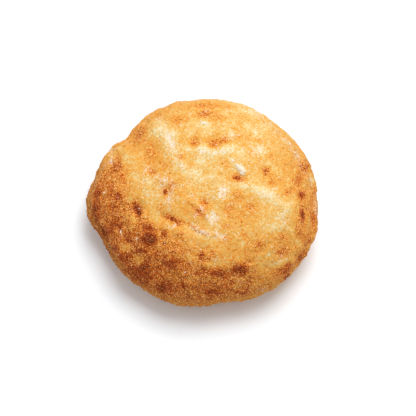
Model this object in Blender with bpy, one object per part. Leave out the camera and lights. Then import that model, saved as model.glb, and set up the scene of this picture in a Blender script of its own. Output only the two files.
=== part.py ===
"""A round panini bun: one baked roll with a flat base, an uneven outline and a blistered, dimpled crown.

The roll starts as a cube cage that is swelled into the body of the loaf, its crust is then raised and
pressed in by folds, dimples and blisters, and the floor of the oven cuts its base flat.
Places on the crust are aimed at from the heart of the roll: bearing counts anticlockwise from +X seen
from above, and rise is the angle above the level of the heart, both in degrees.
"""

import math

import bmesh
import bpy
from mathutils import Vector, noise

MM = 0.001

# Size of the whole roll
WIDTH = 114.6 * MM  # along X
DEPTH = 109.6 * MM  # along Y
HEIGHT = 45.5 * MM
WAIST = 17 * MM  # height of the widest line
UNDERSIDE = 22 * MM  # how far the rounded underside would run below the waist, were it not flat

# Form of the section
CROWN_REACH = 0.86  # below 1, the crown is broader than a ball's
CROWN_FLATNESS = 2.35
UNDERSIDE_REACH = 0.4
LEAN = Vector((6 * MM, 2 * MM, 0))  # the crown stands off the middle, so the left flank is the longer one

# Cage
CELLS_ACROSS = 32  # over the crown, and on each side
CELLS_DOWN = 26  # from the crown's edge to the underside
FLOOR_SNAP = 0.45 * MM  # points this near the floor are set on it, which leaves no slivers

HEART = Vector((0, 0, WAIST))

# Outline seen from above: bearing, spread in degrees, how far it stands out
LOBES = (
    (-47, 21, 4.9 * MM),
    (-24, 12, 1.3 * MM),
    (12, 14, 0.6 * MM),
    (52, 18, -1.8 * MM),
    (100, 24, -2.3 * MM),
    (137, 20, -5.4 * MM),
    (142, 5, -1.2 * MM),
    (168, 14, -4.0 * MM),
    (208, 16, -5.4 * MM),
    (238, 11, -1.8 * MM),
    (266, 16, 1.8 * MM),
)

# Even unevenness of the dough: size of the swellings, how high they stand
SWELLINGS = (
    (34 * MM, 1.5 * MM),
    (15 * MM, 0.75 * MM),
    (7 * MM, 0.35 * MM),
)
SWELLING_SEED = Vector((3.1, 7.7, 1.9))

# Dimples pressed into the crust: bearing, rise, radius, depth
DIMPLES = (
    (95, 59, 3.8 * MM, 1.3 * MM),
    (64, 57, 5.2 * MM, 1.7 * MM),
    (54, 50, 3.2 * MM, 0.7 * MM),
    (39, 42, 3.4 * MM, 0.8 * MM),
    (351, 54, 3.6 * MM, 1.3 * MM),
    (5, 37, 4.6 * MM, 1.0 * MM),
    (356, 33, 5.0 * MM, 0.8 * MM),
    (282, 59, 4.5 * MM, 1.8 * MM),
    (151, 40, 11.0 * MM, 1.4 * MM),
    (213, 55, 5.0 * MM, 0.6 * MM),
    (210, 31, 4.5 * MM, 1.1 * MM),
    (292, 29, 9.0 * MM, 0.7 * MM),
    (319, 15, 5.0 * MM, 0.7 * MM),
)

# Blisters that rose and scorched: bearing, rise, radius, height
BLISTERS = (
    (233, 27, 6.0 * MM, 0.8 * MM),
    (221, 10, 5.5 * MM, 0.7 * MM),
    (255, 22, 6.5 * MM, 0.8 * MM),
    (238, 9, 6.0 * MM, 0.7 * MM),
    (252, 7, 6.5 * MM, 0.6 * MM),
    (280, 17, 5.0 * MM, 0.6 * MM),
    (294, 18, 6.5 * MM, 0.8 * MM),
    (293, 4, 6.0 * MM, 0.7 * MM),
    (165, 14, 6.0 * MM, 0.8 * MM),
    (60, 12, 6.0 * MM, 0.6 * MM),
    (100, 8, 6.5 * MM, 0.7 * MM),
    (24, 6, 5.0 * MM, 0.6 * MM),
)

# Folds of the dough: half width, height (a crease where negative), and the places that it runs through
FOLDS = (
    (3.4 * MM, 1.2 * MM, ((124, 34), (126, 45), (134, 57), (149, 68), (163, 77))),
    (3.0 * MM, 0.9 * MM, ((95, 68), (58, 67), (40, 57))),
    (2.2 * MM, 0.9 * MM, ((249, 61), (267, 57), (281, 53), (297, 55), (317, 61))),
    (4.0 * MM, 0.9 * MM, ((344, 50), (342, 38), (339, 26))),
    (2.2 * MM, -1.2 * MM, ((228, 40), (239, 42), (252, 43), (268, 41))),
    (2.8 * MM, 0.9 * MM, ((240, 38), (250, 39), (262, 38), (275, 36))),
    (3.2 * MM, -1.2 * MM, ((140, 0), (142, 16), (150, 28))),
)

# Seam where the upper crust meets the lower, and the lip that swells below it
SEAM_HEIGHT = 17 * MM
SEAM_RISE = 6 * MM  # higher by this on the left and right, lower by it in front and behind
SEAM_TILT = 2.5 * MM  # higher by this on the right than in the middle
SEAM_WAVE = 2 * MM
SEAM_WAVE_LENGTH = 28 * MM
SEAM_HALF_WIDTH = 2.3 * MM
LIP_DROP = 5.5 * MM  # the lip swells this far below the seam
FAINT_SEAM = 0.4 * MM
LIPS = (  # where the seam and its lip are full: bearing, spread in degrees, depth of the seam, swelling
    (-16, 20, 1.6 * MM, 1.8 * MM),
    (190, 24, 1.1 * MM, 0.4 * MM),
    (75, 30, 0.6 * MM, 0.8 * MM),
)

CRUST_COLOUR = (0.62, 0.31, 0.085, 1)
CRUST_ROUGHNESS = 0.72


def bell(distance, spread):
    """1 in the middle of a swelling, falling smoothly to nothing at about two spreads."""
    return math.exp(-((distance / spread) ** 2))


def turn_between(bearing, other):
    """The angle between two bearings, from 0 to 180 degrees."""
    return abs((bearing - other + 180) % 360 - 180)


def aim(bearing, rise):
    """The direction from the heart of the roll to a place on its crust."""
    turn, lift = math.radians(bearing), math.radians(rise)
    level = math.cos(lift)
    return Vector((level * math.cos(turn), level * math.sin(turn), math.sin(lift)))


def cage():
    """A cube with square cells on its crown and base, and rows of cells down its sides."""
    bm = bmesh.new()
    bmesh.ops.create_cube(bm, size=2)
    level = [e for e in bm.edges if e.verts[0].co.z * e.verts[1].co.z > 0]
    bmesh.ops.subdivide_edges(bm, edges=level, cuts=CELLS_ACROSS - 1, use_grid_fill=True)
    upright = [e for e in bm.edges if e.verts[0].co.z * e.verts[1].co.z < 0]
    bmesh.ops.subdivide_edges(bm, edges=upright, cuts=CELLS_DOWN - 1, use_grid_fill=True)
    return bm


def outline(bearing):
    """The roll's radius at its waist: an oval with the lobes on it."""
    turn = math.radians(bearing)
    oval = 0.5 / math.hypot(math.cos(turn) / WIDTH, math.sin(turn) / DEPTH)
    return oval + sum(
        reach * bell(turn_between(bearing, at), spread) for at, spread, reach in LOBES
    )


def body_point(cell):
    """Where a point of the cage lies on the plain body, before any relief."""
    even = Vector(math.tan(math.pi / 4 * c) for c in cell)
    slant = math.atan2(math.hypot(even.x, even.y), even.z)
    bearing = math.degrees(math.atan2(even.y, even.x))
    if slant <= math.pi / 2:
        share = math.sin(slant) ** CROWN_REACH
        lift = math.sqrt(1 - share**CROWN_FLATNESS)
        height = WAIST + (HEIGHT - WAIST) * lift
    else:
        share = math.sin(slant) ** UNDERSIDE_REACH
        height = WAIST + UNDERSIDE * math.cos(slant)
    out = outline(bearing) * share
    lean = LEAN * max(0.0, height - WAIST) / (HEIGHT - WAIST)
    turn = math.radians(bearing)
    return Vector((out * math.cos(turn), out * math.sin(turn), height)) + lean


def swelling(place):
    """The uneven rise of the dough, from broad lumps down to small ones."""
    return sum(
        height * noise.noise(place / size + SWELLING_SEED) for size, height in SWELLINGS
    )


def spots(place):
    """Dimples and blisters, each about the line that is aimed at it."""
    from_heart = place - HEART
    total = 0.0
    for sign, marks in ((-1, DIMPLES), (1, BLISTERS)):
        for bearing, rise, radius, height in marks:
            line = aim(bearing, rise)
            if from_heart.dot(line) > 0:
                total += sign * height * bell(from_heart.cross(line).length, 0.7 * radius)
    return total


def to_path(point, path):
    """The distance from a point to the nearest stretch of a path."""
    nearest = math.inf
    for start, end in zip(path, path[1:]):
        along = end - start
        share = (point - start).dot(along) / along.length_squared
        nearest = min(nearest, (point - start - along * min(1, max(0, share))).length)
    return nearest


def folds(place):
    """Ridges and creases that run over the crown."""
    from_heart = place - HEART
    total = 0.0
    for half_width, height, places in FOLDS:
        path = [aim(bearing, rise) * from_heart.length for bearing, rise in places]
        total += height * bell(to_path(from_heart, path), half_width)
    return total


def seam(place):
    """The crease between the upper and the lower crust, and the lip below it."""
    turn = math.atan2(place.y, place.x)
    wander = noise.noise(Vector((place.x, place.y, 0)) / SEAM_WAVE_LENGTH)
    level = SEAM_HEIGHT + SEAM_RISE * math.cos(2 * turn) + SEAM_TILT * math.cos(turn)
    above = place.z - level - SEAM_WAVE * wander
    depth = swell = FAINT_SEAM
    for bearing, spread, full_depth, full_swell in LIPS:
        share = bell(turn_between(math.degrees(turn), bearing), spread)
        depth += share * full_depth
        swell += share * full_swell
    return swell * bell(above + LIP_DROP, LIP_DROP) - depth * bell(above, SEAM_HALF_WIDTH)


def raise_crust(bm):
    """Moves every point of the body in or out along its normal by the relief there."""
    bm.normal_update()
    relief = [
        sum(form(v.co) for form in (swelling, spots, folds, seam)) for v in bm.verts
    ]
    for v, height in zip(bm.verts, relief):
        v.co += v.normal * height


def flatten_base(bm):
    """Cuts the underside off level with the floor and closes it with one flat face."""
    everything = bm.verts[:] + bm.edges[:] + bm.faces[:]
    cut = bmesh.ops.bisect_plane(
        bm,
        geom=everything,
        dist=FLOOR_SNAP,
        plane_co=(0, 0, 0),
        plane_no=(0, 0, -1),
        use_snap_center=True,
        clear_outer=True,
    )
    rim = [e for e in cut["geom_cut"] if isinstance(e, bmesh.types.BMEdge) and e.is_boundary]
    for v in {v for e in rim for v in e.verts}:
        v.co.z = 0
    bmesh.ops.contextual_create(bm, geom=rim)


def centre_on_floor(bm):
    """Sets the middle of the roll's outline over the origin."""
    xs = [v.co.x for v in bm.verts]
    ys = [v.co.y for v in bm.verts]
    middle = Vector((max(xs) + min(xs), max(ys) + min(ys), 0)) / 2
    bmesh.ops.translate(bm, verts=bm.verts, vec=-middle)


def crust_material():
    material = bpy.data.materials.new("baked_crust")
    material.use_nodes = True
    shader = material.node_tree.nodes["Principled BSDF"]
    shader.inputs["Base Color"].default_value = CRUST_COLOUR
    shader.inputs["Roughness"].default_value = CRUST_ROUGHNESS
    shader.inputs["Metallic"].default_value = 0.0
    return material


def make_bun(collection):
    bm = cage()
    for v in bm.verts:
        v.co = body_point(v.co)
    raise_crust(bm)
    flatten_base(bm)
    centre_on_floor(bm)
    bmesh.ops.recalc_face_normals(bm, faces=bm.faces)
    mesh = bpy.data.meshes.new("bun")
    bm.to_mesh(mesh)
    bm.free()
    mesh.shade_smooth()
    mesh.materials.append(crust_material())
    bun = bpy.data.objects.new("bun", mesh)
    collection.objects.link(bun)
    return bun


def main():
    for obj in list(bpy.data.objects):
        bpy.data.objects.remove(obj)
    collection = bpy.data.collections.new("panini_bun")
    bpy.context.scene.collection.children.link(collection)
    make_bun(collection)


main()
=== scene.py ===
"""Looks of the panini bun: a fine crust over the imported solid, flour left on it, and soft daylight.

Places on the crust are aimed at from the heart of the roll: bearing counts anticlockwise from +X seen
from above, rise is the angle above the level of the heart, both in degrees.
"""

import math
import random

import bmesh
import bpy
import numpy as np
from mathutils import Matrix, Vector, noise
from mathutils.bvhtree import BVHTree


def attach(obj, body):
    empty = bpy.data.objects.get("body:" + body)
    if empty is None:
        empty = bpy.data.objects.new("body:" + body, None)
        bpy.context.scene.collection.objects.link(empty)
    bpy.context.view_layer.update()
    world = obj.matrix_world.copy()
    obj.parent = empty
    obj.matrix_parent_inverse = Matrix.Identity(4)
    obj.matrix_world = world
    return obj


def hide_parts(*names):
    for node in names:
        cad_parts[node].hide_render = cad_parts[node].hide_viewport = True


MM = 0.001
HEART = np.array((-1.5, 1.9, 17.0)) * MM

# Mesh of the crust
WELD = 0.01 * MM
FLOOR_TOLERANCE = 0.02 * MM
CRUST_LEVELS = 2  # times that each cell of the solid is halved
BASE_RINGS = 5
PAIR_ANGLE = math.radians(70)  # triangles that meet flatter than this are joined in pairs

# Where each field of noise starts, so that no two are alike
WANDER_SEED = 11.3
WRINKLE_SEED = 3.1
GRIT_SEED = 9.9
TOAST_SEED = 5.7
FLOUR_SEED = 4.3
LOW_STAIN_SEED = 11
CRUMB_SEED = 7

# How the edges of stains wander: size of the wander, how far it reaches
STAIN_WANDER = (
    (3.4 * MM, 0.45 * MM),
    (1.5 * MM, 0.35 * MM),
)

# Unevenness all over the crust: size of the features, height
WRINKLES = (
    (9.0 * MM, 0.30 * MM),
    (4.2 * MM, 0.22 * MM),
    (2.1 * MM, 0.12 * MM),
)
WRINKLE_LEVEL = 0.5  # share of a wrinkle's height that is pressed into the roll
FLANK_WRINKLES = 0.5  # how much higher these stand down the flanks
# Blisters, which stand out on browned crust: size, height, browning of the creases between them as painted
# shade
BLISTERS = (
    (5.2 * MM, 0.36 * MM, 0.05),
    (2.3 * MM, 0.24 * MM, 0.04),
)
BLISTER_CREASE = 0.35  # width of a crease, in sizes of a blister
BLISTERED = (0.35, 0.65)  # browning at which blisters start, and at which they are full
BLISTERS_LEAST = 0.25  # what is left of them on pale crust
BLISTER_LEVEL = 0.4  # share of a blister's height that stands out of the roll
CREASE_SHADE_SHARE = 0.3  # creases beyond this share are browned as painted shade, and blister tops below it are paled as painted light
GRIT_SIZE = 1.2 * MM
GRIT_HEIGHT = 0.12 * MM

# Paths over the crust: places that a ridge, crease or seam runs through
CROWN_RIDGE = ((120, 26), (123, 41), (129, 52), (141, 63), (157, 71), (165, 81))
RIGHT_RIDGE = ((342, 51), (342, 41), (340, 33), (338, 27))
FRONT_RIDGE = ((263, 42), (271, 41), (278, 38), (285, 37))
FRONT_CREASE = ((229, 41), (239, 42), (252, 41), (262, 40), (272, 38))
HOLLOW_LIP = ((252, 68), (266, 61), (277, 55), (281, 50), (282, 45))
HOLLOW_CREASE = ((258, 58), (265, 56), (272, 52), (278, 46))
FRONT_CREVICE = ((262, 43), (268, 40), (272, 39), (279, 38))
HOLLOW_RIM = ((257, 61), (274, 54), (290, 53), (309, 59))
PITS_RIM = ((89, 69), (52, 69), (36, 57))
CURL = ((57, 51), (48, 49), (46, 42))
FLAKE_EDGE = ((18, 60), (7, 57), (358, 51))
LEFT_SEAM = ((163, 22), (173, 18), (179, 14), (185, 11), (191, 6), (198, 4), (207, 2))
RIGHT_SEAM = ((12, 12), (4, 12), (352, 7), (333, 12), (329, 3))
RIGHT_EDGE = ((10, 18), (7, 15), (4, 9), (357, 6), (349, 5))
LEFT_EDGE = ((160, 18), (165, 15), (169, 6), (175, 2), (184, 4), (191, 2), (201, 1))
BACK_EDGE = (
    (119, 12), (107, 11), (95, 16), (83, 15), (72, 11),
    (60, 14), (49, 17), (36, 20), (25, 20), (16, 17),
)

# Pits and swellings: bearing, rise, half width, half height, tilt in degrees, height (a pit where negative)
PITS = (
    (95, 59, 2.4 * MM, 2.4 * MM, 0, -0.5 * MM),
    (64, 57, 3.6 * MM, 2.2 * MM, 0, -0.8 * MM),
    (54, 50, 2.2 * MM, 1.6 * MM, 0, -0.4 * MM),
    (39, 42, 1.8 * MM, 1.6 * MM, 0, -0.4 * MM),
    (351, 54, 2.4 * MM, 1.5 * MM, 0, -0.8 * MM),
    (5, 37, 3.0 * MM, 2.4 * MM, 0, -0.5 * MM),
    (356, 34, 3.2 * MM, 2.4 * MM, 0, -0.4 * MM),
    (282, 59, 2.6 * MM, 1.8 * MM, -25, -0.9 * MM),
    (210, 31, 3.0 * MM, 1.4 * MM, -15, -0.5 * MM),
    (213, 55, 2.0 * MM, 2.4 * MM, 0, -0.3 * MM),
)

# Fine folds: half width, height (a crease where negative), places that it runs through
FINE_FOLDS = (
    (3.0 * MM, -0.40 * MM, CROWN_RIDGE),
    (1.6 * MM, 0.30 * MM, RIGHT_RIDGE),
    (0.8 * MM, 0.45 * MM, FRONT_RIDGE),
    (0.9 * MM, -0.50 * MM, FRONT_CREASE),
    (1.0 * MM, 0.25 * MM, HOLLOW_RIM),
    (0.8 * MM, 0.35 * MM, HOLLOW_LIP),
    (0.7 * MM, -0.40 * MM, HOLLOW_CREASE),
    (1.2 * MM, 0.40 * MM, PITS_RIM),
    (0.7 * MM, 0.35 * MM, CURL),
    (0.9 * MM, 0.45 * MM, FLAKE_EDGE),
    (0.9 * MM, -0.40 * MM, LEFT_SEAM),
    (0.9 * MM, -0.40 * MM, RIGHT_SEAM),
)

# Browning, from 0 where the crust is cream to 1 where it is scorched
CROWN_TOAST = 0.38
FLANK_TOAST = 0.09  # added on the flank all round
FLANK_TOP = 34  # rise at which the flank's browning starts
FLANK_TOP_TURN = (215, 8)  # it starts higher towards this bearing, by this much
FLANK_FADE = 18  # the browning is full this far below
BROWN_SIDES = (  # where the flank is browner, or paler: bearing, spread, added
    (222, 58, 0.34),
    (192, 18, 0.03),
    (285, 32, 0.16),
    (0, 25, 0.14),
    (62, 30, -0.18),
    (88, 12, 0.06),
)
UNDERSIDE_TOP = 6  # rise at which the underside starts
UNDERSIDE_FADE = 16
UNDERSIDE_TOAST = 0.02
UNDERSIDE_TURN = (90, 0.16)  # browner towards this bearing, by this much, and paler away from it
# Painted shade, drawn into the colour as a layer of its own
PAINTED_SHADE_SIDES = (  # painted shade on the flanks that face away from the light: bearing, spread, how much
    (268, 52, 0.14),
    (12, 30, 0.06),
)
RIM_PAINTED_SHADE = 0.20  # painted shade low down all round, next to the floor: how much darker
RIM_TOP = 11  # rise at which this starts
RIM_FADE = 10
RIM_SHADE_TURNS = (  # where this painted shade is darker still, or lighter: bearing, spread, added
    (195, 30, 0.09),
    (238, 30, 0.04),
    (330, 24, -0.10),
)
# Painted shadow along crevices: half width, how much darker, places
PAINTED_CREVICE_SHADOWS = (
    (0.5 * MM, 0.16, FRONT_CREVICE),
    (0.5 * MM, 0.12, HOLLOW_CREASE),
)
PALEST = 0.08  # nothing but flour is paler
SCORCH_START = 0.85  # above this, further browning counts less and less
SCORCH_RANGE = 0.25
TOAST_MOTTLE = (  # size, strength
    (16 * MM, 0.03),
    (6.5 * MM, 0.06),
    (3.0 * MM, 0.07),
    (1.6 * MM, 0.05),
)
# Scorches and browner spots: bearing, rise, half width, half height, tilt, browning.
# These rows, and those of PALE_PATCHES, weren't written by hand. Their places were picked one by one, but
# a fitting program worked out how browned each one is, and wrote both tables.
SCORCHES = (
    (293, 33, 1.8 * MM, 1.2 * MM, -5, 0.32),
    (9, 26, 3.6 * MM, 2.8 * MM, -40, 0.16),
    (165, 58, 3.4 * MM, 2.8 * MM, 45, 0.18),
    (233, 27, 2.6 * MM, 1.6 * MM, 30, 0.08),
    (238, 11, 1.8 * MM, 2.4 * MM, -40, 0.12),
    (138, 69, 1.8 * MM, 2.2 * MM, -45, 0.38),
    (242, 34, 2.0 * MM, 1.6 * MM, 25, 0.44),
    (255, 37, 2.4 * MM, 1.6 * MM, 10, 0.36),
    (360, 21, 4.4 * MM, 2.0 * MM, -20, 0.38),
    (318, 7, 2.8 * MM, 4.4 * MM, 20, 0.20),
    (315, -1, 2.2 * MM, 3.4 * MM, 35, 0.44),
    (101, 39, 2.4 * MM, 3.2 * MM, 45, 0.24),
    (210, 62, 4.0 * MM, 2.0 * MM, -30, 0.22),
    (336, 29, 2.8 * MM, 1.8 * MM, -40, 0.28),
    (324, 40, 2.4 * MM, 1.8 * MM, 5, 0.28),
    (46, 45, 2.2 * MM, 2.6 * MM, -10, 0.08),
    (222, 43, 2.4 * MM, 1.8 * MM, 30, 0.24),
    (279, 28, 1.2 * MM, 2.4 * MM, -40, 0.24),
    (72, 36, 4.0 * MM, 2.4 * MM, 25, 0.24),
    (178, 29, 4.4 * MM, 1.0 * MM, 25, 0.24),
    (223, 63, 7.2 * MM, 4.8 * MM, -30, 0.08),
    (249, 32, 4.0 * MM, 2.4 * MM, 20, 0.08),
    (326, 2, 3.6 * MM, 4.4 * MM, 15, 0.36),
    (85, 34, 4.4 * MM, 2.6 * MM, 10, 0.48),
    (86, 25, 7.0 * MM, 2.2 * MM, 0, 0.32),
    (71, 22, 4.0 * MM, 2.8 * MM, 20, 0.12),
    (109, 35, 3.4 * MM, 3.6 * MM, 0, 0.20),
    (96, 59, 2.4 * MM, 3.6 * MM, 0, 0.40),
    (64, 57, 4.2 * MM, 3.6 * MM, 15, 0.44),
    (54, 51, 2.4 * MM, 1.6 * MM, -40, 0.32),
    (36, 42, 2.6 * MM, 2.0 * MM, -40, 0.12),
    (122, 72, 4.0 * MM, 2.0 * MM, -35, 0.10),
    (137, 22, 4.0 * MM, 7.6 * MM, -30, 0.28),
    (150, 41, 8.4 * MM, 4.0 * MM, 30, 0.20),
    (176, 48, 2.4 * MM, 1.6 * MM, 30, 0.40),
    (210, 54, 1.6 * MM, 1.2 * MM, -15, 0.68),
    (210, 31, 4.0 * MM, 1.6 * MM, -10, 0.44),
    (234, 27, 3.6 * MM, 2.0 * MM, 30, 0.54),
    (243, 43, 4.6 * MM, 1.2 * MM, 5, 0.70),
    (183, 12, 5.2 * MM, 3.4 * MM, 35, 0.18),
    (191, 8, 2.8 * MM, 3.2 * MM, 5, 0.20),
    (193, 25, 2.2 * MM, 1.8 * MM, 25, 0.20),
    (166, 23, 4.4 * MM, 2.8 * MM, 30, 0.18),
    (207, 9, 2.4 * MM, 4.4 * MM, -30, 0.08),
    (217, 8, 1.6 * MM, 4.4 * MM, -45, 0.12),
    (224, 9, 2.2 * MM, 2.8 * MM, -20, 0.14),
    (222, 17, 2.6 * MM, 1.2 * MM, 40, 0.10),
    (232, 18, 2.8 * MM, 1.4 * MM, 40, 0.22),
    (254, 21, 4.4 * MM, 2.8 * MM, 10, 0.20),
    (239, 8, 5.2 * MM, 3.8 * MM, 40, 0.16),
    (252, 6, 5.0 * MM, 2.4 * MM, 30, 0.26),
    (243, 21, 3.4 * MM, 1.8 * MM, 0, 0.06),
    (280, 18, 4.2 * MM, 1.8 * MM, -10, 0.20),
    (294, 18, 4.0 * MM, 2.4 * MM, -10, 0.34),
    (278, 8, 6.0 * MM, 1.8 * MM, -15, 0.14),
    (292, 4, 4.2 * MM, 2.8 * MM, -35, 0.16),
    (273, 27, 1.8 * MM, 1.6 * MM, 5, 0.36),
    (319, 15, 2.8 * MM, 1.8 * MM, -35, 0.24),
    (310, 24, 2.2 * MM, 1.4 * MM, 0, 0.32),
    (323, 21, 2.8 * MM, 2.0 * MM, -20, 0.28),
    (332, 15, 2.0 * MM, 3.0 * MM, -35, 0.24),
    (341, 17, 4.4 * MM, 2.0 * MM, 10, 0.50),
    (352, 19, 2.8 * MM, 2.0 * MM, -15, 0.48),
    (345, 6, 3.6 * MM, 2.2 * MM, -5, 0.28),
    (334, 6, 2.8 * MM, 4.4 * MM, 15, 0.24),
    (10, 16, 2.8 * MM, 7.6 * MM, 30, 0.28),
    (314, 6, 6.0 * MM, 3.6 * MM, -45, 0.28),
    (4, 37, 2.8 * MM, 2.0 * MM, -15, 0.44),
    (355, 33, 1.8 * MM, 4.0 * MM, 35, 0.28),
    (17, 33, 2.8 * MM, 2.4 * MM, -35, 0.18),
    (351, 54, 2.0 * MM, 2.6 * MM, 30, 0.64),
    (19, 65, 2.4 * MM, 1.8 * MM, 30, 0.24),
    (329, 51, 2.4 * MM, 2.0 * MM, 15, 0.36),
    (350, 26, 2.4 * MM, 1.6 * MM, -30, 0.36),
    (283, 58, 2.6 * MM, 1.6 * MM, -45, 0.44),
    (313, 43, 7.6 * MM, 5.6 * MM, 25, 0.12),
    (205, 32, 1.8 * MM, 1.2 * MM, -35, 0.20),
    (45, 46, 1.6 * MM, 2.4 * MM, -35, 0.10),
    (33, 36, 1.8 * MM, 2.2 * MM, -5, 0.20),
    (144, 81, 2.0 * MM, 1.8 * MM, 30, 0.28),
    (351, 59, 1.6 * MM, 2.2 * MM, 20, 0.32),
    (334, 44, 2.0 * MM, 1.8 * MM, -10, 0.16),
    (284, 17, 2.4 * MM, 1.6 * MM, -20, 0.14),
    (55, 25, 2.2 * MM, 3.2 * MM, 15, 0.06),
    (271, 53, 2.8 * MM, 1.8 * MM, 0, 0.32),
    (209, 61, 1.8 * MM, 1.0 * MM, -30, 0.08),
    (307, 48, 2.4 * MM, 2.0 * MM, 10, 0.24),
    (357, 84, 2.0 * MM, 2.4 * MM, -5, 0.18),
    (274, 9, 2.8 * MM, 1.8 * MM, -10, 0.06),
    (263, 11, 2.6 * MM, 1.6 * MM, 25, 0.14),
    (118, 24, 2.2 * MM, 4.2 * MM, 0, 0.20),
    (296, 39, 2.2 * MM, 1.6 * MM, -10, 0.18),
    (305, 31, 2.2 * MM, 1.6 * MM, -15, 0.20),
    (254, 54, 7.0 * MM, 5.4 * MM, 10, 0.10),
    (259, 30, 6.6 * MM, 3.6 * MM, 5, 0.08),
    (230, 5, 4.0 * MM, 3.2 * MM, 0, 0.08),
    (288, 10, 6.0 * MM, 3.2 * MM, -15, 0.16),
    (12, 65, 3.2 * MM, 4.4 * MM, -15, 0.06),
    (230, 31, 4.0 * MM, 1.2 * MM, 30, 0.16),
    (183, 22, 3.2 * MM, 1.8 * MM, 45, 0.16),
    (247, 39, 2.4 * MM, 1.4 * MM, 10, 0.08),
    (228, 32, 3.0 * MM, 1.6 * MM, 25, 0.22),
    (198, 19, 4.0 * MM, 3.2 * MM, -15, 0.08),
)
# Patches that stayed pale, in the same terms
PALE_PATCHES = (
    (290, 9, 2.2 * MM, 1.8 * MM, -10, -0.28),
    (277, 23, 2.2 * MM, 1.0 * MM, -5, -0.32),
    (214, 48, 2.0 * MM, 1.6 * MM, 5, -0.08),
    (69, 53, 2.4 * MM, 1.2 * MM, 20, -0.24),
    (7, 21, 2.4 * MM, 1.4 * MM, -25, -0.28),
    (6, 32, 2.0 * MM, 1.4 * MM, -5, -0.20),
    (101, 52, 1.8 * MM, 2.0 * MM, -40, -0.20),
    (61, 39, 1.8 * MM, 2.0 * MM, 20, -0.16),
    (306, 16, 4.2 * MM, 4.0 * MM, -5, -0.26),
    (311, 12, 2.4 * MM, 2.0 * MM, -40, -0.24),
    (272, 37, 3.2 * MM, 1.8 * MM, 5, -0.12),
    (118, 47, 2.0 * MM, 2.8 * MM, -20, -0.24),
    (110, 65, 1.8 * MM, 2.4 * MM, -10, -0.28),
    (328, 13, 1.8 * MM, 2.0 * MM, 10, -0.24),
    (79, 64, 1.8 * MM, 2.2 * MM, -10, -0.32),
    (214, 27, 2.2 * MM, 1.4 * MM, 10, -0.44),
    (78, 79, 2.4 * MM, 1.6 * MM, 5, -0.28),
    (295, 23, 2.8 * MM, 1.4 * MM, -10, -0.20),
    (162, 26, 1.8 * MM, 3.0 * MM, -40, -0.26),
    (45, 59, 2.2 * MM, 1.6 * MM, -30, -0.28),
    (10, 36, 2.0 * MM, 1.8 * MM, 0, -0.32),
    (343, 25, 3.2 * MM, 1.4 * MM, -20, -0.16),
    (179, 35, 2.4 * MM, 1.6 * MM, 30, -0.22),
    (153, 18, 1.8 * MM, 4.4 * MM, -35, -0.32),
    (244, 25, 2.6 * MM, 1.6 * MM, 25, -0.16),
    (82, 43, 2.0 * MM, 2.0 * MM, 10, -0.24),
    (284, 23, 4.2 * MM, 1.6 * MM, -10, -0.36),
    (269, 23, 2.8 * MM, 2.0 * MM, 10, -0.14),
    (266, 15, 2.4 * MM, 1.2 * MM, 5, -0.20),
    (40, 26, 2.8 * MM, 5.0 * MM, 35, -0.18),
    (61, 45, 2.2 * MM, 3.0 * MM, 40, -0.22),
    (78, 51, 2.4 * MM, 2.6 * MM, 35, -0.20),
    (24, 52, 4.4 * MM, 1.8 * MM, -20, -0.24),
    (130, 48, 2.0 * MM, 2.4 * MM, 30, -0.20),
    (158, 29, 4.2 * MM, 2.8 * MM, 40, -0.14),
    (198, 31, 1.8 * MM, 1.6 * MM, -10, -0.40),
    (5, 9, 4.8 * MM, 2.6 * MM, -45, -0.34),
    (330, 19, 3.2 * MM, 2.6 * MM, -30, -0.20),
    (312, 18, 2.0 * MM, 1.6 * MM, -10, -0.38),
    (341, 40, 4.8 * MM, 3.6 * MM, -30, -0.16),
    (331, 74, 10.4 * MM, 11.6 * MM, 25, -0.12),
    (287, 28, 5.6 * MM, 2.8 * MM, -15, -0.08),
    (209, 24, 3.6 * MM, 3.0 * MM, 15, -0.16),
    (265, 26, 3.8 * MM, 2.0 * MM, 5, -0.24),
    (217, 22, 1.8 * MM, 4.0 * MM, -45, -0.20),
    (130, 34, 3.0 * MM, 4.4 * MM, 10, -0.28),
    (48, 34, 1.8 * MM, 3.0 * MM, 35, -0.22),
    (40, 34, 3.0 * MM, 2.2 * MM, -40, -0.28),
    (52, 46, 2.2 * MM, 1.6 * MM, -35, -0.24),
    (57, 21, 6.4 * MM, 4.4 * MM, -20, -0.20),
    (189, 47, 2.4 * MM, 3.4 * MM, -25, -0.16),
    (202, 43, 4.4 * MM, 3.6 * MM, -5, -0.10),
    (204, 87, 4.0 * MM, 4.8 * MM, -30, -0.14),
    (315, 61, 5.6 * MM, 3.2 * MM, 15, -0.12),
    (288, 47, 2.8 * MM, 3.8 * MM, -25, -0.22),
    (333, 27, 4.8 * MM, 3.0 * MM, 20, -0.18),
    (324, 25, 4.0 * MM, 2.6 * MM, -35, -0.18),
    (25, 39, 5.0 * MM, 2.6 * MM, 25, -0.26),
    (225, 38, 3.6 * MM, 2.0 * MM, -30, -0.20),
    (286, 36, 4.0 * MM, 2.0 * MM, -15, -0.16),
    (222, 13, 3.8 * MM, 1.6 * MM, 35, -0.36),
    (214, 14, 3.0 * MM, 1.6 * MM, 40, -0.14),
    (225, 21, 1.8 * MM, 1.2 * MM, 35, -0.16),
    (233, 13, 3.6 * MM, 1.8 * MM, 40, -0.26),
    (317, 11, 5.6 * MM, 1.8 * MM, -25, -0.34),
    (157, 12, 6.4 * MM, 3.6 * MM, 40, -0.14),
    (301, 28, 1.6 * MM, 1.2 * MM, 40, -0.26),
    (69, 31, 2.4 * MM, 3.2 * MM, 20, -0.12),
    (95, 43, 6.0 * MM, 4.0 * MM, -5, -0.18),
)
# Stains placed by chance, low down all round and up the back
LOW_STAINS = 44
LOW_STAIN_RISES = (-35, -2, 9)  # lowest, highest at the sides, how much higher at the back
LOW_STAIN_SIZES = (1.6 * MM, 5.0 * MM)
LOW_STAIN_TILTS = (-45, 45)
LOW_STAIN_BROWNING = (-0.18, 0.32)
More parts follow.
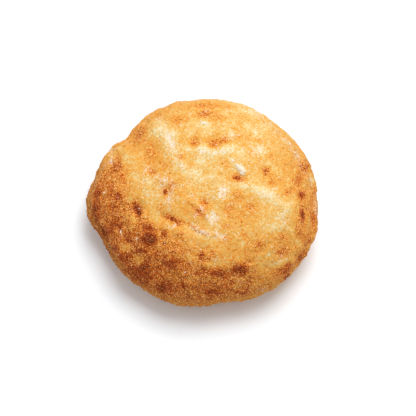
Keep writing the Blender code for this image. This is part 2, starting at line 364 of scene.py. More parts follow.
# Folds that browned less or more than the crust beside them, and crevices browned as painted shade: half
# width, browning, places
TOASTED_FOLDS = (
    (3.2 * MM, -0.18, CROWN_RIDGE),
    (2.6 * MM, -0.28, PITS_RIM),
    (3.4 * MM, -0.20, RIGHT_RIDGE),
    (1.8 * MM, -0.22, FLAKE_EDGE),
    (2.4 * MM, 0.08, LEFT_SEAM),
    (1.8 * MM, 0.08, RIGHT_SEAM),
    # the last two rows are painted shade along crevices
    (0.6 * MM, 0.20, FRONT_CREVICE),
    (0.6 * MM, 0.12, HOLLOW_CREASE),
)

# Flour left on the crust: bearing, rise, half width, half height, tilt, how thick it lies.
# The patches and their thickness were picked one by one, and a program turned them into these rows and
# thickened the first of them all alike.
FLOURED_PATCHES = (
    (183, 42, 4.4 * MM, 1.3 * MM, 0, 0.29),
    (194, 54, 4.0 * MM, 1.9 * MM, 0, 0.32),
    (204, 45, 1.4 * MM, 3.7 * MM, -35, 0.29),
    (223, 56, 2.2 * MM, 5.6 * MM, 40, 0.32),
    (277, 56, 6.2 * MM, 1.5 * MM, 35, 0.43),
    (287, 46, 2.3 * MM, 3.0 * MM, -30, 0.46),
    (314, 60, 3.9 * MM, 1.8 * MM, 40, 0.58),
    (282, 57, 3.0 * MM, 1.8 * MM, -40, -0.30),
    (12, 65, 3.6 * MM, 2.7 * MM, -5, 0.17),
    (343, 37, 5.8 * MM, 2.0 * MM, -40, 0.35),
    (26, 41, 3.0 * MM, 4.7 * MM, 25, 0.23),
    (331, 24, 3.7 * MM, 2.0 * MM, 25, 0.38),
    (272, 39, 4.2 * MM, 1.0 * MM, 10, 0.38),
    (290, 34, 2.8 * MM, 1.5 * MM, -10, 0.35),
    (317, 13, 3.7 * MM, 1.7 * MM, -20, 0.32),
    (246, 40, 3.6 * MM, 1.2 * MM, 35, 0.32),
    (214, 15, 2.4 * MM, 2.9 * MM, 45, 0.58),
    (225, 21, 2.5 * MM, 1.1 * MM, 40, 0.58),
    (186, 18, 2.2 * MM, 1.5 * MM, 15, 0.51),
    (208, 22, 2.3 * MM, 1.7 * MM, -30, 0.36),
    (163, 17, 5.7 * MM, 1.1 * MM, 40, 0.43),
    (52, 45, 2.4 * MM, 2.0 * MM, -15, 0.29),
    (41, 32, 2.2 * MM, 2.6 * MM, 35, 0.29),
    (84, 33, 2.5 * MM, 2.8 * MM, 5, 0.29),
    (83, 43, 2.0 * MM, 1.6 * MM, 5, 0.43),
    (125, 36, 2.6 * MM, 4.8 * MM, -30, 0.23),
    (132, 53, 4.7 * MM, 2.0 * MM, 35, 0.20),
    (223, 27, 1.3 * MM, 4.2 * MM, -40, 0.20),
    (237, 23, 1.4 * MM, 1.3 * MM, -25, 0.14),
    (263, 23, 3.8 * MM, 1.3 * MM, 10, 0.23),
    (292, 11, 4.2 * MM, 1.7 * MM, -5, 0.20),
    (265, 14, 3.4 * MM, 1.3 * MM, 10, 0.17),
    (69, 69, 2.9 * MM, 2.4 * MM, 30, 0.28),
    (4, 11, 5.9 * MM, 2.1 * MM, -35, 0.34),
    (124, 47, 3.4 * MM, 2.1 * MM, 20, 0.18),
    (125, 37, 2.3 * MM, 2.8 * MM, 5, -0.16),
    (154, 10, 1.4 * MM, 4.4 * MM, -30, 0.34),
    (218, 12, 2.5 * MM, 1.6 * MM, 35, 0.24),
    (191, 60, 3.0 * MM, 2.5 * MM, 40, 0.28),
    (147, 18, 1.5 * MM, 4.2 * MM, -30, 0.34),
    (229, 50, 2.7 * MM, 2.2 * MM, 15, 0.24),
    (200, 28, 1.7 * MM, 1.7 * MM, 20, 0.34),
    (171, 44, 2.6 * MM, 2.0 * MM, 35, 0.24),
    (24, 38, 2.4 * MM, 3.5 * MM, 35, 0.32),
    (325, 61, 3.0 * MM, 1.8 * MM, 30, 0.24),
    (39, 62, 1.8 * MM, 1.5 * MM, 30, 0.20),
    (210, -1, 1.5 * MM, 4.0 * MM, -25, 0.34),
    (153, 14, 1.6 * MM, 4.6 * MM, -20, 0.30),
    (317, 12, 2.6 * MM, 1.8 * MM, -35, 0.24),
    (21, 13, 1.9 * MM, 5.4 * MM, 40, 0.22),
    (301, 1, 2.7 * MM, 4.4 * MM, 20, 0.36),
    (290, 52, 2.4 * MM, 2.2 * MM, 10, 0.26),
    (256, 63, 1.9 * MM, 2.4 * MM, 25, 0.26),
    (289, 44, 1.9 * MM, 1.6 * MM, 0, 0.18),
    (309, 13, 3.2 * MM, 2.0 * MM, -40, 0.28),
    (187, 49, 2.0 * MM, 2.4 * MM, -40, 0.18),
    (215, 48, 2.5 * MM, 1.8 * MM, 30, 0.20),
    (231, 58, 2.1 * MM, 1.8 * MM, 5, 0.16),
    (283, 24, 1.9 * MM, 1.2 * MM, -5, 0.16),
    (43, 62, 1.4 * MM, 1.2 * MM, 10, 0.10),
    (222, 13, 2.2 * MM, 1.2 * MM, 35, 0.20),
    (289, 36, 2.8 * MM, 1.2 * MM, -15, 0.18),
    (245, 39, 2.4 * MM, 1.0 * MM, 15, 0.16),
    (333, 27, 2.8 * MM, 1.0 * MM, 25, 0.16),
    (160, 72, 2.0 * MM, 2.5 * MM, 5, 0.18),
    (208, 31, 2.4 * MM, 1.4 * MM, -25, -0.40),
    (56, 51, 1.4 * MM, 1.0 * MM, 5, -0.22),
    (46, 45, 1.7 * MM, 2.0 * MM, -20, -0.22),
    (184, 32, 2.3 * MM, 1.6 * MM, 20, -0.20),
    (82, 36, 2.9 * MM, 2.1 * MM, 0, -0.24),
    (78, 28, 3.0 * MM, 2.3 * MM, 15, -0.16),
    (23, 20, 1.9 * MM, 3.4 * MM, 35, -0.14),
    (37, 20, 1.7 * MM, 4.2 * MM, 15, -0.14),
    (165, 21, 1.6 * MM, 2.6 * MM, -30, -0.16),
    (165, 13, 1.5 * MM, 4.4 * MM, -25, 0.12),
)
# Lines of flour: half width, how thick, places
FLOURED_FOLDS = (
    (2.0 * MM, 0.18, PITS_RIM),
    (1.8 * MM, 0.30, RIGHT_EDGE),
    (1.6 * MM, 0.30, LEFT_EDGE),
    (1.1 * MM, 0.30, FRONT_RIDGE),
    (1.0 * MM, 0.20, HOLLOW_LIP),
    (4.0 * MM, 0.34, BACK_EDGE),
    (2.6 * MM, 0.20, CROWN_RIDGE),
    (0.8 * MM, 0.40, CURL),
)
FLOUR_EVERYWHERE = 0.28
FLOUR_BY_FLANK = -0.10  # added down the flanks
SCORCHED = (0.65, 0.88)  # browning at which the flour starts to burn off, and at which it is gone
SCORCH_BARES = 0.40
# How the flour drifts into thin and thick patches: size, strength
FLOUR_DRIFTS = (
    (9.0 * MM, 0.10),
    (4.5 * MM, 0.16),
    (2.2 * MM, 0.10),
)

# Lumps of flour that stuck to the crust: bearing, rise, half length, half width, turn in degrees
FLOUR_LUMPS = (
    (84, 43, 1.7 * MM, 0.8 * MM, -15),
    (5, 55, 2.6 * MM, 1.3 * MM, -36),
    (2, 53, 1.5 * MM, 1.0 * MM, -60),
    (358, 53, 1.1 * MM, 0.9 * MM, -20),
    (18, 59, 1.0 * MM, 0.6 * MM, -60),
    (186, 18, 0.7 * MM, 0.4 * MM, 60),
    (213, 15, 0.7 * MM, 0.4 * MM, 80),
    (226, 22, 0.7 * MM, 0.3 * MM, 0),
    (272, 38, 0.6 * MM, 0.4 * MM, 20),
)
CRUMBS = 60  # smaller grains of flour, strewn all over
CRUMB_SIZES = (0.20 * MM, 0.36 * MM)
CRUMB_RISES = (-5, 75)
CRUMB_LENGTH = 1.4  # half length in half widths
LUMP_LEVELS = 4
CRUMB_LEVELS = 2
LUMP_FLATNESS = 0.35  # height in half widths
LUMP_BUMPS = ((1.7, 0.45), (4.5, 0.30))  # fineness, share of the size
LUMP_REACH = 100 * MM  # from how far off a lump is lowered onto the crust
FLOUR_SHADES = ((0.35, (0.86, 0.68, 0.46)), (0.6, (0.93, 0.81, 0.64)))
LUMP_GRAIN = 0.5 * MM
LUMP_GRAIN_HEIGHT = 0.15 * MM

# Colours of the crust as it browns
SHADES = (
    (0.00, (0.832, 0.749, 0.520)),
    (0.12, (0.832, 0.631, 0.294)),
    (0.25, (0.812, 0.514, 0.168)),
    (0.38, (0.795, 0.430, 0.100)),
    (0.50, (0.790, 0.353, 0.054)),
    (0.62, (0.765, 0.279, 0.032)),
    (0.72, (0.710, 0.207, 0.020)),
    (0.80, (0.620, 0.138, 0.010)),
    (0.87, (0.480, 0.083, 0.006)),
    (0.94, (0.330, 0.043, 0.004)),
    (1.00, (0.220, 0.028, 0.003)),
)
FLOUR_COLOUR = (0.88, 0.78, 0.68)
FLECK_COLOUR = (0.82, 0.50, 0.18)  # the thin, dry tops of grains, which stayed pale on browned crust
FLECK_GAIN = 2.85  # how fast flecks come in as the crust browns
FLECK_START = 0.95  # taken off the gain times the browning

# Grain of the crust
GRAIN_SIZE = 0.9 * MM
GRAIN_HEIGHT = 0.22 * MM
GRAIN_LEAST = 1.1  # strength of the grain's colour on cream crust
GRAIN_GAIN = 0.05  # how it grows with browning
CALM_START = 0.75  # browning at which the grain starts to fade
CALM_END = 0.92
SCORCH_GRAIN = 0.3  # what is left of it where the crust is scorched
MOTTLE_STRENGTH = 1.4
SPECK_STRENGTH = 0.7
PAINTED_GLINT_STRENGTH = 2.4  # painted glints and painted shade on the grains, which grow with browning
FLOUR_EDGE = 2.2  # how sharply floured grains stand out from bare ones
FLOUR_COVER = 0.8
CRUST_SHINE = 0.06
ROUGHNESS = 0.7
ROUGHNESS_SPREAD = 0.3

# Make-up of the grain
MIDDLE = 0.5  # of textures that go from 0 to 1
MOTTLE_FINENESS = 0.8  # against the size of a grain
FLECK_FINENESS = 1.8
GIRTH_LEAST = 0.3  # height of the flattest grain's dome, and how much higher the others are
GIRTH_SPREAD = 0.9
DOME_SLOPE = 1.8
FLECK_EDGE = 8.0  # how sharply flecks stand out
FLECK_LEVEL = 4.3  # higher for fewer flecks
DUST_DRIFT = 1.2  # how flour drifts from grain to grain
DUST_MOTTLE = 1.6
DUST_LEVEL = 0.9
MOTTLE_HEIGHT = 2.0  # height of the mottle, in grains

# Stage
CAMERA_RISE = math.radians(65)
CAMERA_DISTANCE = 575 * MM
CAMERA_LENS = 100
CAMERA_AIM = Vector((3.3, -4.15, 17.1)) * MM
KEY_TILT = math.radians(22)  # the key light leans this far behind the roll
KEY_TURN = math.radians(30)  # and is turned this far to its right
KEY_DISTANCE = 1.2
KEY_SIZE = 0.7
KEY_POWER = 10.8
SKY_STRENGTH = 0.61
FLOOR_SIZE = 6.0
FLOOR_COLOUR = (0.915, 0.95, 0.98, 1)
FLOOR_ROUGHNESS = 0.9


def bell(distance):
    """1 in the middle, falling smoothly to nothing at about two."""
    return np.exp(-(distance**2))


def ease(value, low, high):
    """0 up to low, 1 from high on, and a smooth step between."""
    share = np.clip((value - low) / (high - low), 0, 1)
    return share * share * (3 - 2 * share)


def noise_at(points, size, seed=0.0):
    """Smooth noise from -1 to 1, with features of one size."""
    return np.array([noise.noise(p) for p in (points / size + seed).tolist()])


def cells_at(points, size):
    """Distance to the nearest centre of a field of cells, in cell sizes, and to the second nearest."""
    found = [noise.voronoi(p)[0] for p in (points / size).tolist()]
    return np.array([d[0] for d in found]), np.array([d[1] for d in found])


def aim(bearing, rise):
    """The direction from the heart to a place on the crust."""
    turn, lift = math.radians(bearing), math.radians(rise)
    return np.array(
        (math.cos(lift) * math.cos(turn), math.cos(lift) * math.sin(turn), math.sin(lift))
    )


def spot(points, bearing, rise, half_width, half_height, tilt):
    """A round or oval spot about a place on the crust, 1 in its middle."""
    ahead = aim(bearing, rise)
    sideways = aim(bearing + 90, 0)
    upward = np.cross(ahead, sideways)
    beams = points - HEART
    across, along = beams @ sideways, beams @ upward
    c, s = math.cos(math.radians(tilt)), math.sin(math.radians(tilt))
    reach = np.hypot((c * across + s * along) / half_width, (c * along - s * across) / half_height)
    return bell(reach) * (beams @ ahead > 0)


def fold(points, half_width, places):
    """A band along a path over the crust, 1 on the path."""
    beams = points - HEART
    length = np.linalg.norm(beams, axis=1, keepdims=True)
    nearest = np.full(len(points), np.inf)
    for start, end in zip(places, places[1:]):
        a, b = aim(*start) * length, aim(*end) * length
        along = b - a
        share = np.sum((beams - a) * along, axis=1) / np.sum(along * along, axis=1)
        foot = a + along * np.clip(share, 0, 1)[:, None]
        nearest = np.minimum(nearest, np.linalg.norm(beams - foot, axis=1))
    return bell(nearest / half_width)


def wandering(points):
    """The points, shifted about a little, so that stains drawn from them have uneven edges."""
    moved = points.copy()
    for size, reach in STAIN_WANDER:
        for axis in range(3):
            moved[:, axis] += reach * noise_at(points, size, WANDER_SEED * (axis + 1))
    return moved


def bearings_and_rises(points):
    beams = points - HEART
    bearing = np.degrees(np.arctan2(beams[:, 1], beams[:, 0]))
    rise = np.degrees(np.arctan2(beams[:, 2], np.hypot(beams[:, 0], beams[:, 1])))
    return bearing, rise


def towards(bearings, sides):
    """The sum of what is added towards some bearings, each with its spread."""
    total = 0
    for at, spread, added in sides:
        turn = np.abs((bearings - at + 180) % 360 - 180)
        total = total + added * bell(turn / spread)
    return total


def down_flank(rise):
    """0 on the crown and 1 low down the flank."""
    return ease(FLANK_TOP - rise, 0, FLANK_FADE)


def close_base(bm):
    """Lays rings of cells over the open base, down to one point in its middle."""
    rim = [e for e in bm.edges if e.is_boundary]
    corners = {v for e in rim for v in e.verts}
    middle = sum((v.co for v in corners), Vector()) / len(corners)
    middle.z = 0
    for ring in range(BASE_RINGS, 1, -1):
        made = bmesh.ops.extrude_edge_only(bm, edges=rim)["geom"]
        corners = [g for g in made if isinstance(g, bmesh.types.BMVert)]
        rim = [g for g in made if isinstance(g, bmesh.types.BMEdge) and g.is_boundary]
        for v in corners:
            v.co = middle.lerp(v.co, (ring - 1) / ring)
    made = bmesh.ops.extrude_edge_only(bm, edges=rim)["geom"]
    corners = [g for g in made if isinstance(g, bmesh.types.BMVert)]
    bmesh.ops.pointmerge(bm, verts=corners, merge_co=middle)


def crust_mesh(node):
    """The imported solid's surface in fine, smooth cells."""
    bm = bmesh.new()
    bm.from_mesh(node.data)
    bmesh.ops.remove_doubles(bm, verts=bm.verts, dist=WELD)
    bm.normal_update()
    flat = [f for f in bm.faces if max(v.co.z for v in f.verts) < FLOOR_TOLERANCE]
    bmesh.ops.delete(bm, geom=flat, context="FACES")
    bmesh.ops.join_triangles(
        bm,
        faces=bm.faces,
        angle_face_threshold=PAIR_ANGLE,
        angle_shape_threshold=PAIR_ANGLE,
    )
    close_base(bm)
    bmesh.ops.recalc_face_normals(bm, faces=bm.faces)
    coarse = bpy.data.meshes.new("crust_cells")
    bm.to_mesh(coarse)
    bm.free()
    holder = bpy.data.objects.new("crust_cells", coarse)
    bpy.context.scene.collection.objects.link(holder)
    halving = holder.modifiers.new("halving", "SUBSURF")
    halving.levels = halving.render_levels = CRUST_LEVELS
    smooth = holder.evaluated_get(bpy.context.evaluated_depsgraph_get())
    mesh = bpy.data.meshes.new_from_object(smooth)
    bpy.data.objects.remove(holder)
    mesh.name = "crust"
    return mesh


def read(mesh, what):
    values = np.empty(len(mesh.vertices) * 3)
    mesh.vertices.foreach_get(what, values)
    return values.reshape(-1, 3)


def add_layer(mesh, name, values):
    attribute = mesh.attributes.new(name, "FLOAT", "POINT")
    attribute.data.foreach_set("value", values.astype(np.float32))


def blister_creases(points):
    """For each size of blister, 1 in the creases between them and 0 on their tops."""
    creases = []
    for size, *_ in BLISTERS:
        near, next_near = cells_at(points, size)
        creases.append(1 - ease(next_near - near, 0, BLISTER_CREASE))
    return creases


def low_stains():
    """Stains and pale patches in places drawn by chance, low down all round and up the back."""
    draws = random.Random(LOW_STAIN_SEED)
    lowest, highest, higher = LOW_STAIN_RISES
    for _ in range(LOW_STAINS):
        bearing = draws.uniform(0, 360)
        rise = draws.uniform(lowest, highest + higher * math.sin(math.radians(bearing)))
        sizes = draws.uniform(*LOW_STAIN_SIZES), draws.uniform(*LOW_STAIN_SIZES)
        tilt = draws.uniform(*LOW_STAIN_TILTS)
        yield bearing, rise, *sizes, tilt, draws.uniform(*LOW_STAIN_BROWNING)


def toast_level(points, stained, creases):
    """How browned the crust is: more down the flanks, mottled all over, with stains and pale patches."""
    bearing, rise = bearings_and_rises(points)
    highest, higher = FLANK_TOP_TURN
    top = FLANK_TOP + higher * np.cos(np.radians(bearing - highest))
    flank = ease(top - rise, 0, FLANK_FADE)
    toast = CROWN_TOAST + flank * (FLANK_TOAST + towards(bearing, BROWN_SIDES))
    brownest, browner = UNDERSIDE_TURN
    underside = UNDERSIDE_TOAST + browner * np.cos(np.radians(bearing - brownest))
    toast += underside * ease(UNDERSIDE_TOP - rise, 0, UNDERSIDE_FADE)
    for seed, (size, strength) in enumerate(TOAST_MOTTLE):
        toast += strength * noise_at(points, size, TOAST_SEED * (seed + 1))
    for *place, browning in (*SCORCHES, *PALE_PATCHES, *low_stains()):
        toast += browning * spot(stained, *place)
    for half_width, browning, places in TOASTED_FOLDS:
        toast += browning * fold(stained, half_width, places)
    browned = ease(toast, *BLISTERED)
    # Painted shade browns the creases between blisters, and painted light pales their tops
    for (_, _, browning), crease in zip(BLISTERS, creases):
        toast += browning * browned * (crease - CREASE_SHADE_SHARE)
    over = np.maximum(toast - SCORCH_START, 0)
    toast = np.minimum(toast, SCORCH_START) + SCORCH_RANGE * (1 - np.exp(-over / SCORCH_RANGE))
    return np.maximum(toast, PALEST)


def painted_shade_level(points):
    """Painted shade: how much darker the crust is drawn, in front away from the light, low down by the
    floor, and in crevices.
    """
    bearing, rise = bearings_and_rises(points)
    flank = towards(bearing, PAINTED_SHADE_SIDES) * down_flank(rise)
    rim = (RIM_PAINTED_SHADE + towards(bearing, RIM_SHADE_TURNS)) * ease(RIM_TOP - rise, 0, RIM_FADE)
    painted_shade = np.maximum(flank, rim)
    for half_width, darker, places in PAINTED_CREVICE_SHADOWS:
        painted_shade += darker * fold(points, half_width, places)
    return painted_shade


def flour_level(points, stained, toast):
    """How thick flour lies: in drifts, less down the flanks, thick in some patches, none on scorches."""
    _, rise = bearings_and_rises(points)
    flour = FLOUR_EVERYWHERE + FLOUR_BY_FLANK * down_flank(rise)
    for seed, (size, strength) in enumerate(FLOUR_DRIFTS):
        flour += strength * noise_at(points, size, FLOUR_SEED * (seed + 1))
    for *place, thickness in FLOURED_PATCHES:
        flour += thickness * spot(stained, *place)
    for half_width, thickness, places in FLOURED_FOLDS:
        flour += thickness * fold(stained, half_width, places)
    return flour - SCORCH_BARES * ease(toast, *SCORCHED)


def relief(points, toast, creases):
    """How far the crust stands out of the smooth roll or is pressed into it."""
    height = np.zeros(len(points))
    _, rise = bearings_and_rises(points)
    rougher = 1 + FLANK_WRINKLES * down_flank(rise)
    for seed, (size, reach) in enumerate(WRINKLES):
        ridges = 1 - 2 * np.abs(noise_at(points, size, WRINKLE_SEED * (seed + 1)))
        height += reach * (ridges - WRINKLE_LEVEL) * rougher
    blistered = BLISTERS_LEAST + (1 - BLISTERS_LEAST) * ease(toast, *BLISTERED)
    for (_, reach, _), crease in zip(BLISTERS, creases):
        height += reach * blistered * (BLISTER_LEVEL - crease)
    height += GRIT_HEIGHT * noise_at(points, GRIT_SIZE, GRIT_SEED)
    for *place, reach in PITS:
        height += reach * spot(points, *place)
    for half_width, reach, places in FINE_FOLDS:
        height += reach * fold(points, half_width, places)
    return height


def make_crust(node):
    """The crust: the solid's surface with its relief, browning, painted shade and flour worked in."""
    mesh = crust_mesh(node)
    points, normals = read(mesh, "co"), read(mesh, "normal")
    stained = wandering(points)
    creases = blister_creases(points)
    toast = toast_level(points, stained, creases)
    add_layer(mesh, "toast", toast)
    # painted shade, kept as its own layer
    add_layer(mesh, "painted_shade", painted_shade_level(points))
    add_layer(mesh, "flour", flour_level(points, stained, toast))
    raised = points + normals * relief(points, toast, creases)[:, None]
    raised[:, 2] = np.maximum(raised[:, 2], 0)
    on_base = points[:, 2] < FLOOR_TOLERANCE
    raised[on_base] = points[on_base]
    mesh.vertices.foreach_set("co", raised.ravel())
    mesh.update()
    mesh.shade_smooth()
    mesh.materials.clear()
    mesh.materials.append(crust_material())
    crust = bpy.data.objects.new("crust", mesh)
    bpy.context.scene.collection.objects.link(crust)
    return crust


def lay_lump(bm, skin, levels, place, half_length, half_width, turn):
    """An uneven lump that clings to the crust, partly sunk in it."""
    ahead = Vector(aim(*place))
    foot, normal, *_ = skin.ray_cast(Vector(HEART) + ahead * LUMP_REACH, -ahead)
    side = (Vector((1, 0, 0)) - normal * normal.x).normalized()
    side = Matrix.Rotation(math.radians(turn), 3, normal) @ side
    for v in bmesh.ops.create_icosphere(bm, subdivisions=levels, radius=1)["verts"]:
        swell = 1 + sum(
            share * noise.noise(v.co * fineness + foot / MM) for fineness, share in LUMP_BUMPS
        )
        aside = (side * v.co.x * half_length + normal.cross(side) * v.co.y * half_width) * swell
        under, *_ = skin.ray_cast(foot + aside + normal * LUMP_REACH, -normal)
        v.co = under + normal * v.co.z * half_width * LUMP_FLATNESS * swell


def make_flour(crust):
    """Lumps and crumbs of flour that stuck to the crust."""
    skin = BVHTree.FromObject(crust, bpy.context.evaluated_depsgraph_get())
    draws = random.Random(CRUMB_SEED)
    bm = bmesh.new()
    for bearing, rise, half_length, half_width, turn in FLOUR_LUMPS:
        lay_lump(bm, skin, LUMP_LEVELS, (bearing, rise), half_length, half_width, turn)
    for _ in range(CRUMBS):
        place = draws.uniform(0, 360), draws.uniform(*CRUMB_RISES)
        size = draws.uniform(*CRUMB_SIZES)
        lay_lump(bm, skin, CRUMB_LEVELS, place, size * CRUMB_LENGTH, size, draws.uniform(0, 180))
    mesh = bpy.data.meshes.new("loose_flour")
    bm.to_mesh(mesh)
    bm.free()
    mesh.shade_smooth()
    mesh.materials.append(flour_material())
    flour = bpy.data.objects.new("loose_flour", mesh)
    bpy.context.scene.collection.objects.link(flour)
    return flour


def add(tree, kind, **values):
    """A node of a tree, with values set on its sockets by name and its own settings by attribute."""
    node = tree.nodes.new(kind)
    for name, value in values.items():
        if hasattr(node, name):
            setattr(node, name, value)
        else:
            node.inputs[name.replace("_", " ")].default_value = value
    return node


def chain(tree, operation, first, second, third=None, clamp=False):
    """A Math node fed by sockets or set to plain numbers, and its result."""
    node = add(tree, "ShaderNodeMath", operation=operation, use_clamp=clamp)
    for socket, value in zip(node.inputs, (first, second, third)):
        if isinstance(value, bpy.types.NodeSocket):
            tree.links.new(value, socket)
        elif value is not None:
            socket.default_value = value
    return node.outputs[0]


def texture(tree, kind, place, scale, **values):
    """A texture at a place, with features as fine as the scale says."""
    node = add(tree, kind, **values)
    tree.links.new(place, node.inputs["Vector"])
    tree.links.new(scale, node.inputs["Scale"])
    return node


def wobbled(tree, place, wobble, reach):
    """The place, shifted by a texture's colour as far as the reach says."""
    shift = add(tree, "ShaderNodeVectorMath", operation="SCALE")
    tree.links.new(wobble.outputs["Color"], shift.inputs[0])
    tree.links.new(reach, shift.inputs["Scale"])
    shifted = add(tree, "ShaderNodeVectorMath", operation="ADD")
    tree.links.new(place, shifted.inputs[0])
    tree.links.new(shift.outputs[0], shifted.inputs[1])
    return shifted.outputs[0]


def grain_group():
    """Fine grain of baked dough: mottle, specks and painted glints and shade about 0, flecks from 0 to 1,
    dust, a height.
    """
    tree = bpy.data.node_groups.new("dough_grain", "ShaderNodeTree")
    tree.interface.new_socket("Size", in_out="INPUT", socket_type="NodeSocketFloat")
    for name in ("Mottle", "Specks", "Flecks", "PaintedGlints", "Dust", "Height"):
        tree.interface.new_socket(name, in_out="OUTPUT", socket_type="NodeSocketFloat")
    entry, way_out = tree.nodes.new("NodeGroupInput"), tree.nodes.new("NodeGroupOutput")
    size, out = entry.outputs["Size"], way_out.inputs
    link = tree.links.new
    place = add(tree, "ShaderNodeTexCoord").outputs["Object"]
    scale = chain(tree, "DIVIDE", 1.0, size)
    coarse = chain(tree, "MULTIPLY", scale, MOTTLE_FINENESS)
    fine = chain(tree, "MULTIPLY", scale, FLECK_FINENESS)
    mottled = texture(tree, "ShaderNodeTexNoise", place, coarse, Detail=4.0, Roughness=0.8).outputs["Fac"]
    dusted = texture(tree, "ShaderNodeTexNoise", place, scale, Detail=2.0, Roughness=0.7).outputs["Fac"]
    flecked = texture(tree, "ShaderNodeTexNoise", place, fine, Detail=1.0).outputs["Fac"]
    wobble = texture(tree, "ShaderNodeTexNoise", place, scale, Detail=1.0)
    nudged = wobbled(tree, place, wobble, size)
    grains = texture(tree, "ShaderNodeTexVoronoi", nudged, scale, feature="F1")
    chance = add(tree, "ShaderNodeSeparateColor")
    link(grains.outputs["Color"], chance.inputs["Color"])
    girth = chain(tree, "MULTIPLY_ADD", chance.outputs["Blue"], GIRTH_SPREAD, GIRTH_LEAST)
    dome = chain(tree, "MULTIPLY_ADD", grains.outputs["Distance"], -DOME_SLOPE, girth, clamp=True)
    speck = chain(tree, "SUBTRACT", chance.outputs["Red"], MIDDLE)
    drifting = chain(tree, "MULTIPLY_ADD", dusted, DUST_DRIFT, -DUST_LEVEL)
    bare = chain(tree, "MULTIPLY_ADD", mottled, DUST_MOTTLE, drifting)
    domes = chain(tree, "MULTIPLY", dome, chance.outputs["Green"])
    link(chain(tree, "SUBTRACT", mottled, MIDDLE), out["Mottle"])
    link(chain(tree, "MULTIPLY", speck, dome), out["Specks"])
    link(chain(tree, "MULTIPLY_ADD", flecked, FLECK_EDGE, -FLECK_LEVEL, clamp=True), out["Flecks"])
    # painted glints and shade of the grains, from the fleck noise
    link(chain(tree, "SUBTRACT", flecked, MIDDLE), out["PaintedGlints"])
    link(chain(tree, "MULTIPLY_ADD", speck, dome, bare), out["Dust"])
    link(chain(tree, "MULTIPLY_ADD", mottled, MOTTLE_HEIGHT, domes), out["Height"])
    return tree


def colour_ramp(tree, share, stops):
    """The colour at a share of the way through some stops."""
    node = tree.nodes.new("ShaderNodeValToRGB")
    elements = node.color_ramp.elements
    while len(elements) < len(stops):
        elements.new(1)
    for element, (stop, colour) in zip(elements, stops):
        element.position = stop
        element.color = (*colour, 1)
    tree.links.new(share, node.inputs["Fac"])
    return node.outputs["Color"]


def mixed(tree, share, first, second):
    """A colour that goes from a socket's colour to a plain one as the share goes from 0 to 1."""
    node = add(tree, "ShaderNodeMix", data_type="RGBA")
    from_colour, to_colour = [s for s in node.inputs if s.type == "RGBA"]
    tree.links.new(share, node.inputs[0])
    tree.links.new(first, from_colour)
    to_colour.default_value = (*second, 1)
    return next(s for s in node.outputs if s.type == "RGBA")


def layer(tree, name):
    """A value that the mesh carries at each point."""
    return add(tree, "ShaderNodeAttribute", attribute_type="GEOMETRY", attribute_name=name).outputs["Fac"]


def bump(tree, height, distance):
    """The surface's direction, tilted by a height."""
    node = add(tree, "ShaderNodeBump", Strength=1.0, Distance=distance)
    tree.links.new(height, node.inputs["Height"])
    return node.outputs["Normal"]


def calmness(tree, toast):
    """1 on browned crust, falling to what is left of the grain where it is scorched."""
    calmed = add(
        tree,
        "ShaderNodeMapRange",
        From_Min=CALM_START,
        From_Max=CALM_END,
        To_Min=1.0,
        To_Max=SCORCH_GRAIN,
    )
    tree.links.new(toast, calmed.inputs["Value"])
    return calmed.outputs["Result"]


def browned_colour(tree, grain, toast, calm):
    """The colour of bare crust, uneven from grain to grain, with pale flecks on what is browned."""
    gain = chain(tree, "MULTIPLY", chain(tree, "MULTIPLY_ADD", toast, GRAIN_GAIN, GRAIN_LEAST), calm)
    mottle = chain(tree, "MULTIPLY", grain["Mottle"], MOTTLE_STRENGTH)
    uneven = chain(tree, "MULTIPLY_ADD", grain["Specks"], SPECK_STRENGTH, mottle)
    shade = colour_ramp(tree, chain(tree, "MULTIPLY_ADD", uneven, gain, toast), SHADES)
    flaky = chain(tree, "MULTIPLY_ADD", toast, FLECK_GAIN, -FLECK_START, clamp=True)
    flecks = chain(tree, "MULTIPLY", chain(tree, "MULTIPLY", flaky, calm), grain["Flecks"])
    return mixed(tree, flecks, shade, FLECK_COLOUR)


def floured_colour(tree, grain, colour):
    """The colour under the flour that lies on it, thick on some grains and thin on others."""
    bare = chain(tree, "SUBTRACT", grain["Dust"], layer(tree, "flour"))
    floured = chain(tree, "MULTIPLY", bare, -FLOUR_EDGE, clamp=True)
    return mixed(tree, chain(tree, "MULTIPLY", floured, FLOUR_COVER), colour, FLOUR_COLOUR)


def painted_shade_colour(tree, grain, toast, colour):
    """The colour, darkened by the painted shade layer, with painted glints and shade on its grains."""
    # painted glints: the value of the grains goes up and down, more on browned crust
    painted_glints = chain(tree, "MULTIPLY", grain["PaintedGlints"], chain(tree, "MULTIPLY", toast, toast))
    # lit is the colour's value once the painted shade is taken off
    lit = chain(tree, "SUBTRACT", 1.0, layer(tree, "painted_shade"))
    shaded = add(tree, "ShaderNodeHueSaturation")
    tree.links.new(colour, shaded.inputs["Color"])
    tree.links.new(chain(tree, "MULTIPLY_ADD", painted_glints, PAINTED_GLINT_STRENGTH, lit), shaded.inputs["Value"])
    return shaded.outputs["Color"]


def crust_material():
    material = bpy.data.materials.new("browned_crust")
    material.use_nodes = True
    tree = material.node_tree
    shader = tree.nodes["Principled BSDF"].inputs
    shader["Specular IOR Level"].default_value = CRUST_SHINE
    grain = add(tree, "ShaderNodeGroup", node_tree=grain_group(), Size=GRAIN_SIZE).outputs
    toast = layer(tree, "toast")
    colour = browned_colour(tree, grain, toast, calmness(tree, toast))
    colour = floured_colour(tree, grain, colour)
    colour = painted_shade_colour(tree, grain, toast, colour)
    rough = chain(tree, "MULTIPLY_ADD", grain["Specks"], ROUGHNESS_SPREAD, ROUGHNESS)
    tree.links.new(colour, shader["Base Color"])
    tree.links.new(rough, shader["Roughness"])
    tree.links.new(bump(tree, grain["Height"], GRAIN_HEIGHT), shader["Normal"])
    return material


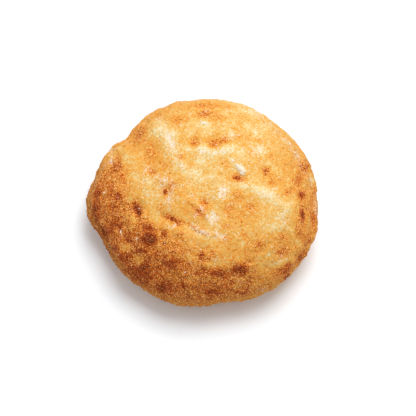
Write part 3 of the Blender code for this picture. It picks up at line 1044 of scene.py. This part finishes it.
def flour_material():
    material = bpy.data.materials.new("dry_flour")
    material.use_nodes = True
    tree = material.node_tree
    shader = tree.nodes["Principled BSDF"].inputs
    shader["Specular IOR Level"].default_value = 0.0
    shader["Roughness"].default_value = 1.0
    dough_grain = bpy.data.node_groups["dough_grain"]
    grain = add(tree, "ShaderNodeGroup", node_tree=dough_grain, Size=LUMP_GRAIN).outputs
    colour = colour_ramp(tree, chain(tree, "ADD", grain["Mottle"], MIDDLE), FLOUR_SHADES)
    tree.links.new(colour, shader["Base Color"])
    tree.links.new(bump(tree, grain["Height"], LUMP_GRAIN_HEIGHT), shader["Normal"])
    return material


def make_floor():
    bm = bmesh.new()
    bmesh.ops.create_grid(bm, x_segments=1, y_segments=1, size=FLOOR_SIZE / 2)
    mesh = bpy.data.meshes.new("floor")
    bm.to_mesh(mesh)
    bm.free()
    material = bpy.data.materials.new("pale_floor")
    material.use_nodes = True
    shader = material.node_tree.nodes["Principled BSDF"].inputs
    shader["Base Color"].default_value = FLOOR_COLOUR
    shader["Roughness"].default_value = FLOOR_ROUGHNESS
    shader["Specular IOR Level"].default_value = 0.0
    mesh.materials.append(material)
    floor = bpy.data.objects.new("floor", mesh)
    bpy.context.scene.collection.objects.link(floor)


def face(obj, target):
    """Turns a camera or a light towards a point."""
    obj.rotation_euler = (target - obj.location).to_track_quat("-Z", "Y").to_euler()


def make_camera():
    data = bpy.data.cameras.new("camera")
    data.lens = CAMERA_LENS
    camera = bpy.data.objects.new("camera", data)
    away = Vector((0, -math.cos(CAMERA_RISE), math.sin(CAMERA_RISE)))
    camera.location = CAMERA_AIM + away * CAMERA_DISTANCE
    face(camera, CAMERA_AIM)
    bpy.context.scene.collection.objects.link(camera)
    bpy.context.scene.camera = camera


def make_key_light():
    data = bpy.data.lights.new("key", "AREA")
    data.size = KEY_SIZE
    data.energy = KEY_POWER
    key = bpy.data.objects.new("key", data)
    lean = math.sin(KEY_TILT)
    away = Vector((lean * math.sin(KEY_TURN), lean * math.cos(KEY_TURN), math.cos(KEY_TILT)))
    key.location = away * KEY_DISTANCE
    face(key, Vector())
    bpy.context.scene.collection.objects.link(key)


def make_sky():
    world = bpy.data.worlds.new("sky")
    bpy.context.scene.world = world
    world.use_nodes = True
    sky = world.node_tree.nodes["Background"].inputs
    sky["Color"].default_value = (1, 1, 1, 1)
    sky["Strength"].default_value = SKY_STRENGTH


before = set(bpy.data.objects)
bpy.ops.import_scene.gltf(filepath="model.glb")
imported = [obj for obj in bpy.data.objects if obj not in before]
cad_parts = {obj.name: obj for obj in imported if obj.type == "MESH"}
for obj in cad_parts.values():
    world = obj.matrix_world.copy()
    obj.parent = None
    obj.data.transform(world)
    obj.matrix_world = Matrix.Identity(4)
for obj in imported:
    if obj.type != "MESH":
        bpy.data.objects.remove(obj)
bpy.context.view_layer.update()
bpy.context.scene.view_settings.view_transform = "Standard"

crust = make_crust(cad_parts["bun"])
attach(crust, "root")
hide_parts("bun")
flour = make_flour(crust)
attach(flour, "root")
make_floor()
make_camera()
make_key_light()
make_sky()
